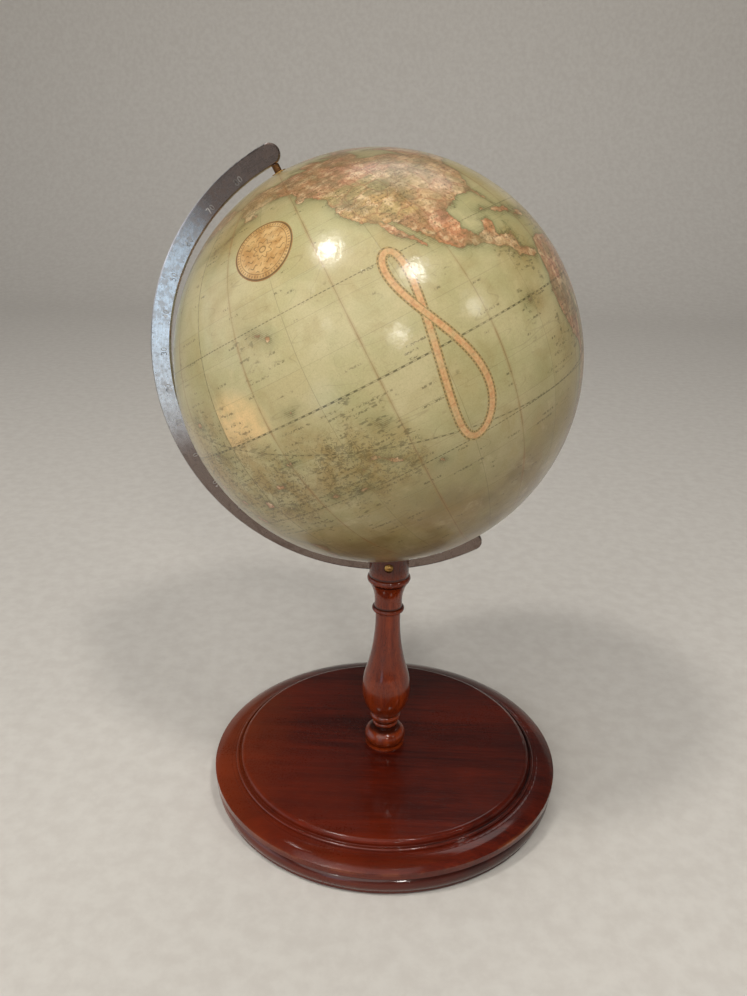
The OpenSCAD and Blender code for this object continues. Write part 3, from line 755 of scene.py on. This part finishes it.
    # The gores meet a little unevenly, and their edges have gone brown.
    seam = p.mul(p.fold(p.sub(lon, 15.0), 15.0), across)
    seam_line = p.mul(p.band(seam, 0.10, 0.08), p.ramp(p.noise(m, 13.0, 4, 0.6), 0.30, 0.56, 0.35, 1.0))
    browned = p.mul(p.band(seam, 0.05, 1.3), p.ramp(p.noise(m, 8.0, 3), 0.3, 0.7, 0.1, 0.5))
    colour = p.mix(browned, colour, lin(150, 106, 62))

    ink = p.most(
        p.mul(shore, 0.50), p.mul(land, border, 0.40), p.mul(land, inner, 0.26), p.mul(land, rivers, 0.42),
        p.mul(land, hills, 0.64), p.mul(marks, 0.60), p.mul(islets, 0.50), p.mul(words, 0.52),
        p.mul(reefs, sea, 0.66), p.mul(currents, 0.17), p.mul(hatching, 0.42),
    )
    lines = p.most(
        p.mul(meridians, 0.34), p.mul(parallels, 0.26), p.mul(equator, 0.78), p.mul(ecliptic, 0.64),
        p.mul(date_line, 0.62), p.mul(tropics, 0.66), p.mul(seam_line, 0.30),
    )
    faded = p.ramp(p.noise(m, 6.0, 5, 0.65), 0.28, 0.60, 0.55, 1.0)
    varnished(p, colour, p.mul(p.most(ink, lines), faded))
    return p.mat


def decal_paper(name, pattern):
    """Print that stands on the map as its own piece: pattern gives its colour and ink."""
    p = Paint(name, **VARNISH)
    u, v, _ = p.split(p.attribute("inlay"))
    colour, ink = pattern(p, u, v)
    varnished(p, colour, ink)
    return p.mat


def figure_eight_print(p, u, v):
    """u runs along the band in degrees, v across it from -1 to 1."""
    away = p.math("ABSOLUTE", v)
    m = p.attribute("mapdir")
    beads = p.ramp(p.fold(u, 0.5), 0.18, 0.30)
    middle = p.ramp(away, 0.62, 0.52)
    colour = p.mix(middle, lin(170, 146, 96), lin(212, 170, 120))
    redder = p.mul(p.ramp(p.noise(m, 60.0, 3), 0.4, 0.65, 0.0, 0.5), middle)
    rubbed = p.ramp(p.noise(m, 17.0, 4, 0.6), 0.50, 0.64, 0.0, 0.45)
    colour = p.over(colour, (redder, (190, 124, 82)), (rubbed, (186, 172, 126)))
    rails = p.band(p.sub(away, 0.60), 0.05, 0.08)
    edge_beads = p.mul(p.band(p.sub(away, 0.80), 0.10, 0.10), beads)
    ticks = p.mul(p.ramp(p.fold(u, 1.5), 0.22, 0.08), p.ramp(away, 0.60, 0.54))
    spine = p.mul(p.band(v, 0.05, 0.08), p.ramp(p.fold(u, 0.6), 0.2, 0.35))
    return colour, p.most(p.mul(rails, 0.30), p.mul(edge_beads, 0.66), p.mul(ticks, 0.16), p.mul(spine, 0.16))


def roundel_print(p, u, v):
    """A plain ornamental roundel. u and v run from -1 to 1 across it."""
    r = p.radius(u, v)
    a = p.math("ARCTAN2", v, u)
    m = p.attribute("mapdir")
    colour = p.mix(p.ramp(p.noise(m, 22.0, 4, 0.6), 0.35, 0.68), lin(206, 168, 112), lin(178, 134, 80))
    outer = p.band(p.sub(r, 0.955), 0.022, 0.03)
    inner = p.band(p.sub(r, 0.80), 0.012, 0.02)
    turns = p.fold(p.mul(a, 28 / math.pi), 0.5)
    beads = p.mul(p.band(p.sub(r, 0.875), 0.035, 0.03), p.ramp(turns, 0.20, 0.32))
    petals = p.mul(p.math("SINE", p.mul(a, 8.0)), 0.055)
    rosette = p.band(p.sub(r, p.add(petals, 0.27)), 0.018, 0.03)
    eye = p.band(p.sub(r, 0.10), 0.02, 0.03)
    curl = p.mul(p.math("SINE", p.mul(u, 26.0)), 0.045)
    rows = p.fold(p.add(v, curl), 0.115)
    broken = p.ramp(p.noise(p.join(p.mul(u, 9.0), p.mul(v, 5.0), 0.0), 1.0, 2), 0.42, 0.52)
    scrolls = p.mul(p.band(rows, 0.020, 0.03), broken)
    field = p.mul(p.ramp(r, 0.76, 0.72), p.ramp(r, 0.40, 0.44))
    rim = p.ramp(r, 0.90, 0.99)
    colour = p.mix(p.mul(rim, 0.7), colour, lin(142, 94, 48))
    return colour, p.most(
        p.mul(outer, 0.75), p.mul(inner, 0.55), p.mul(beads, 0.45), p.mul(rosette, 0.6), p.mul(eye, 0.6),
        p.mul(scrolls, field, 0.62),
    )


# ---- the sphere
def land_tint(lat, lon):
    """The wash of each part of the world, as linear colours."""
    pink, buff = lin(194, 142, 112), lin(194, 164, 122)
    yellow, green, orange = lin(204, 172, 112), lin(154, 154, 108), lin(208, 142, 98)
    plots = (  # west, east, south and north edges, colour; later plots lie over earlier ones
        (-170, -30, 49, 90, pink), (-170, -141, 55, 90, buff), (-170, -104, 41, 49, green),
        (-170, -104, 31, 41, yellow), (-104, -30, 31, 49, buff), (-170, -94, 25, 31, pink),
        (-170, -30, 18, 25, orange), (-170, -30, 8, 18, buff), (-84, -30, -90, 12, pink),
        (-68, -30, -90, -5, green), (-72, -30, -90, -22, yellow), (-181, -170, -90, -10, pink),
        (-30, 181, -90, -10, pink), (60, 95, -90, 32, pink), (75, 130, 32, 50, yellow),
        (30, 181, 50, 90, buff), (-20, 50, 5, 35, yellow), (-181, 181, -91, -60, buff),
    )
    out = np.tile(np.array(buff), (len(lat), 1))
    for west, east, south, north, colour in plots:
        out[(lon > west) & (lon < east) & (lat > south) & (lat <= north)] = colour
    return out


def map_attributes(mesh, normals):
    """Each point's place in map space."""
    m = to_map(normals)
    put_attribute(mesh, "mapdir", m)
    return m


def inlaid(name, verts, faces, normals, u, v):
    """Print as its own piece. The varnish runs over it without a step, so it takes the ball's normals."""
    ob = mesh_object(name, verts, faces, "globe")
    map_attributes(ob.data, normals)
    ob.data.normals_split_custom_set_from_vertices([tuple(n) for n in normals])
    put_attribute(ob.data, "inlay", np.stack([u, v, 0 * u], -1))
    return ob


def build_sphere():
    """The papered ball, slightly uneven as hand laid plaster is, open where the bushes come through."""
    rows, cols = 220, 440
    hole = math.asin(BUSH_HOLE_R / GLOBE_R)
    down = np.linspace(hole, math.pi - hole, rows)
    round_ = np.arange(cols) / cols * 2 * math.pi
    down, round_ = np.meshgrid(down, round_, indexing="ij")
    down, round_ = down.ravel(), round_.ravel()
    n = (
        np.cos(down)[:, None] * AXIS
        + (np.sin(down) * np.cos(round_))[:, None] * ARM_SIDE
        + (np.sin(down) * np.sin(round_))[:, None] * FRONT
    )
    swell = 0.035 * MM * (
        np.sin(n @ (7.1, 3.3, -5.2) + 1) + np.sin(n @ (-4.7, 9.4, 6.1) + 2) + 0.6 * np.sin(n @ (14.0, -11.0, 17.0))
    )
    verts = n * (GLOBE_R + swell)[:, None]
    # Turn the paper's edge in at the bushes.
    rim = 0.28 * MM
    verts = np.concatenate([verts[:cols] * (1 - rim / GLOBE_R), verts, verts[-cols:] * (1 - rim / GLOBE_R)])
    n = np.concatenate([n[:cols], n, n[-cols:]])
    ob = mesh_object("papered_sphere", verts + CENTRE, grid_faces(rows + 2, cols), "globe")
    m = map_attributes(ob.data, n)
    lat, lon = degrees_of(m)
    put_attribute(ob.data, "coast", coast_distance(m))
    put_attribute(ob.data, "busy", busy_sea(m))
    put_attribute(ob.data, "tint", land_tint(lat, lon))
    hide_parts("north_calotte", "south_calotte", *[f"gore_{i:02d}" for i in range(1, 13)])
    return ob


def build_figure_eight():
    """The table of the sun's declination: a closed figure of eight over the eastern Pacific."""
    count, across, half_width = 720, 7, math.radians(1.25)
    t = np.arange(count) / count * 2 * math.pi
    lat = 23.97 * np.sin(t) + 0.91
    lon = -118.52 + 2.22 * np.cos(t) - 0.95 * np.sin(t) - 3.75 * np.sin(2 * t)
    lon += 0.73 * np.cos(2 * t) + 0.31 * np.cos(3 * t) - 0.78 * np.sin(3 * t)
    middle = from_map(lat, lon)
    ahead = np.roll(middle, -1, 0) - np.roll(middle, 1, 0)
    ahead /= np.linalg.norm(ahead, axis=1)[:, None]
    side = np.cross(middle, ahead)
    length = np.degrees(np.concatenate([[0], np.cumsum(np.linalg.norm(np.diff(middle, axis=0), axis=1))]))
    length *= round(length[-1]) / length[-1]
    row, v = np.tile(np.arange(count), across), np.repeat(np.linspace(-1, 1, across), count)
    normals = middle[row] + side[row] * (v * half_width)[:, None]
    normals /= np.linalg.norm(normals, axis=1)[:, None]
    # The band's edges go down to the paper.
    lift = 0.09 + (0.060 + 0.02 * np.cos(t[row])) * np.where(np.abs(v) < 0.99, 1, -0.5)
    verts = CENTRE + normals * (GLOBE_R + lift * MM)[:, None]
    faces = grid_faces(across, count)
    return inlaid("sun_figure", verts, faces, normals, length[row], v)


def build_roundel():
    """A round label on the northern Pacific. Its outermost ring goes down to the paper."""
    rings, spokes = 18, 96
    r = np.repeat(np.maximum(np.arange(rings + 1) / rings, 0.002), spokes)
    a = np.tile(2 * math.pi * np.arange(spokes) / spokes, rings + 1)
    u, v = r * np.cos(a), r * np.sin(a)
    lat = 42.2 + 9.0 * v
    normals = from_map(lat, -150.2 + 8.2 * u / np.cos(np.radians(lat)))
    lift = np.where(np.arange(len(normals)) < rings * spokes, 0.14, 0.04) * MM
    verts = CENTRE + normals * (GLOBE_R + lift)[:, None]
    faces = [face[::-1] for face in grid_faces(rings + 1, spokes)]
    return inlaid("roundel", verts, faces, normals, u, v)


# ---- figures stamped on the arm
def arc(cx, cy, rx, ry, start, stop):
    turns = np.radians(np.linspace(start, stop, 15))
    return [(cx + rx * math.cos(a), cy + ry * math.sin(a)) for a in turns]


# Strokes of the digits, about one wide and 1.6 high.
DIGITS = {
    "0": [arc(0.5, 0.8, 0.40, 0.76, 0, 360)],
    "1": [[(0.25, 1.25), (0.55, 1.6), (0.55, 0.0)]],
    "2": [arc(0.5, 1.16, 0.38, 0.42, 170, -35) + [(0.08, 0.02), (0.95, 0.02)]],
    "3": [arc(0.45, 1.2, 0.38, 0.38, 160, -80) + arc(0.45, 0.42, 0.42, 0.42, 80, -160)],
    "4": [[(0.7, 0.0), (0.7, 1.6), (0.05, 0.5), (0.95, 0.5)]],
    "5": [[(0.85, 1.58), (0.25, 1.58), (0.2, 0.95)] + arc(0.45, 0.5, 0.42, 0.5, 120, -150)],
    "6": [arc(0.5, 0.45, 0.40, 0.45, 0, 360), [(0.1, 0.5), (0.35, 1.3), (0.75, 1.6)]],
    "7": [[(0.08, 1.58), (0.92, 1.58), (0.4, 0.0)]],
    "8": [arc(0.5, 1.2, 0.34, 0.38, 0, 360), arc(0.5, 0.42, 0.42, 0.42, 0, 360)],
}


def build_figures():
    """Pale degree figures every ten degrees on the arm's front face, counted from the equator."""
    size, thick, depth = 1.75 * MM, 0.34 * MM, 0.018 * MM
    digit_wide, gap = 1.28 * size, 0.28 * size
    foot = ARM_INNER + (ARM_OUTER - ARM_INNER) * 0.20
    in_slot = (15, 16)
    verts, faces = [], []

    def stroke(points, angle, shift):
        """Draws one stroke flat on the face. angle is measured from the north pivot."""
        out = math.cos(angle) * AXIS + math.sin(angle) * ARM_SIDE
        way = math.sin(angle) * AXIS - math.cos(angle) * ARM_SIDE
        flat = [np.array(q) * size for q in points]
        for a, b in zip(flat[:-1], flat[1:]):
            d = (b - a) / np.linalg.norm(b - a)
            side = np.array([-d[1], d[0]]) * thick / 2
            a, b = a - d * thick * 0.3, b + d * thick * 0.3
            base = len(verts)
            for y in (ARM_FACE_Y, ARM_FACE_Y - depth):
                for q in (a + side, b + side, b - side, a - side):
                    verts.append(CENTRE + out * (foot + q[1]) + way * (q[0] + shift) + (0, y, 0))
            faces.extend(tuple(base + i for i in f) for f in (
                (7, 6, 5, 4), (0, 1, 2, 3), (4, 5, 1, 0), (5, 6, 2, 1), (6, 7, 3, 2), (7, 4, 0, 3)))

    for step in range(1, 18):
        if step in in_slot:
            continue
        word = str(abs(90 - step * 10))
        start = -(len(word) * digit_wide - gap) / 2
        for k, digit in enumerate(word):
            for line in DIGITS[digit]:
                stroke(line, math.radians(step * 10), start + k * digit_wide)
    return mesh_object("arm_figures", verts, faces, "stand", False)


# ---- put it together
# The arm's nickel takes a painted reflection and painted edge highlights.
nickel = metal("nickel", lin(126, 112, 105), lin(88, 68, 58), 0.22, 0.45, round_the_arm, handled)
steel = metal("steel", lin(150, 148, 145), lin(92, 70, 52), 0.34, 0.5)
brass = metal("brass", lin(190, 150, 88), lin(96, 64, 34), 0.32, 0.7)
old_brass = metal("old_brass", lin(112, 78, 48), lin(58, 38, 26), 0.40, 0.8)
stamp = metal("stamped_figures", lin(200, 194, 188), lin(90, 80, 74), 0.48, 0.3)
papier = pulp("papier_mache", lin(150, 140, 118), lin(184, 172, 146), 300.0, 0.0003)
plaster = pulp("plaster", lin(214, 208, 194), lin(232, 228, 216), 160.0, 0.00015)
finishes = {
    "base_board": base_wood(), "pillar": pillar_wood(), "baize_pad": baize(), "meridian_arm": nickel,
    "arm_screw": brass, "base_washer": steel, "base_screw": steel, "north_pin": steel, "south_pin": steel,
    "north_collar": old_brass, "south_collar": old_brass, "north_bush": brass, "south_bush": brass,
    "core_post": core_wood(), "north_half_shell": papier, "south_half_shell": papier,
}


def dress(ob, material):
    ob.data.materials.clear()
    ob.data.materials.append(material)


# Nodes without a finish of their own are plaster.
for name, ob in nodes.items():
    dress(ob, finishes.get(name, plaster))

paper = map_paper()
for build, material, slot in (
    (build_sphere, paper, "map_paper"),
    (build_figure_eight, decal_paper("sun_figure_print", figure_eight_print), "map_paper"),
    (build_roundel, decal_paper("roundel_print", roundel_print), "map_paper"),
    (build_figures, stamp, "nickel"),
):
    piece = build()
    dress(piece, material)


# ---- stage, light, camera
def stage_material():
    p = Paint("pale_floor", Roughness=0.75)
    grain = p.noise(p.place(), 90.0, 4, 0.6)
    p.set("Base Color", p.mix(p.ramp(grain, 0.3, 0.7), lin(198, 193, 186), lin(206, 202, 195)))
    p.set("Normal", p.bump(grain, 0.0004, 0.2))
    return p.mat


def build_stage():
    """A floor that sweeps up into a low backdrop."""
    reach, bend_y, bend_r, top, below = 9.0, 1.6, 0.7, 1.15, 0.0002
    profile = [(-reach, 0.0), (bend_y, 0.0)]
    profile += [
        (bend_y + bend_r * math.sin(a), bend_r - bend_r * math.cos(a)) for a in np.linspace(0.1, math.pi / 2, 14)
    ]
    profile += [(bend_y + bend_r, top)]
    verts = [(x, y, z - below) for y, z in profile for x in (-reach, reach)]
    faces = [(i, i + 1, i + 3, i + 2) for i in range(0, 2 * len(profile) - 2, 2)]
    ob = mesh_object("floor", verts, faces, None)
    dress(ob, stage_material())


def area(name, place, size, watts, colour, aim=(0.0, 0.0, 0.2)):
    """A round soft light, unseen by the camera itself."""
    light = bpy.data.lights.new(name, "AREA")
    light.shape, light.size, light.energy, light.color = "DISK", size, watts, colour
    ob = bpy.data.objects.new(name, light)
    bpy.context.scene.collection.objects.link(ob)
    ob.location = place
    ob.rotation_euler = (Vector(aim) - Vector(place)).to_track_quat("-Z", "Y").to_euler()
    ob.visible_camera = False


build_stage()
BRIGHT, WARM, SOFT = (1.0, 0.97, 0.92), (1.0, 0.96, 0.90), (1.0, 0.97, 0.93)
# Small lamps, which show as spots in the varnish.
area("lamp_left", (-0.57, -0.45, 1.60), 0.21, 7.5, BRIGHT)
area("lamp_right", (0.46, -0.77, 1.60), 0.21, 7.5, BRIGHT)
area("lamp_front", (0.35, -1.52, 1.00), 0.15, 3.4, WARM)
area("lamp_middle", (-0.66, -1.26, 0.98), 0.10, 0.5, WARM)
area("lamp_side", (1.08, -0.61, 1.06), 0.14, 1.6, WARM)
# A cool light low on the left, which whitens the arm.
area("window", (-0.355, -0.80, 0.15), 0.26, 0.25, (0.50, 0.76, 1.0), (-0.1, 0.0, 0.3))
# Broad soft light.
area("key", (-0.9, -1.9, 1.9), 2.6, 28.0, SOFT)
area("fill_top", (-0.3, -0.2, 2.2), 1.6, 5.0, SOFT)
area("fill_back", (0.2, 1.6, 2.3), 1.4, 7.0, (1.0, 0.98, 0.96), (0, 1.6, 0.0))

world = bpy.data.worlds.new("studio")
world.use_nodes = True
bpy.context.scene.world = world
sky = Nodes(world.node_tree)
background = world.node_tree.nodes["Background"]
background.inputs["Strength"].default_value = 0.55
x, _, z = sky.split(sky.node("TexCoord").outputs["Generated"])
shade = sky.mix(sky.ramp(z, 0.10, 0.42), (0.62, 0.60, 0.58, 1), (0.10, 0.095, 0.09, 1))
# A pale wall far to the left catches the edges of the metal.
sky.feed(background.inputs["Color"], sky.mix(sky.ramp(x, -0.74, -0.94), shade, (2.2, 2.3, 2.5, 1)))

camera_data = bpy.data.cameras.new("camera")
camera_data.sensor_width = 36.0
camera_data.lens = 32.53
camera = bpy.data.objects.new("camera", camera_data)
bpy.context.scene.collection.objects.link(camera)
# Seen from a little above, with the camera leaning about a degree.
camera_place = (0.0073, -0.4505, 0.3515)
pitch, yaw, roll = math.radians(21.09), math.radians(2.12), math.radians(1.07)
camera.matrix_world = (
    Matrix.Translation(camera_place)
    @ Matrix.Rotation(yaw, 4, "Z")
    @ Matrix.Rotation(math.pi / 2 - pitch, 4, "X")
    @ Matrix.Rotation(roll, 4, "Z")
)
bpy.context.scene.camera = camera
bpy.context.scene.view_settings.view_transform = "Standard"
bpy.context.scene.view_settings.look = "None"
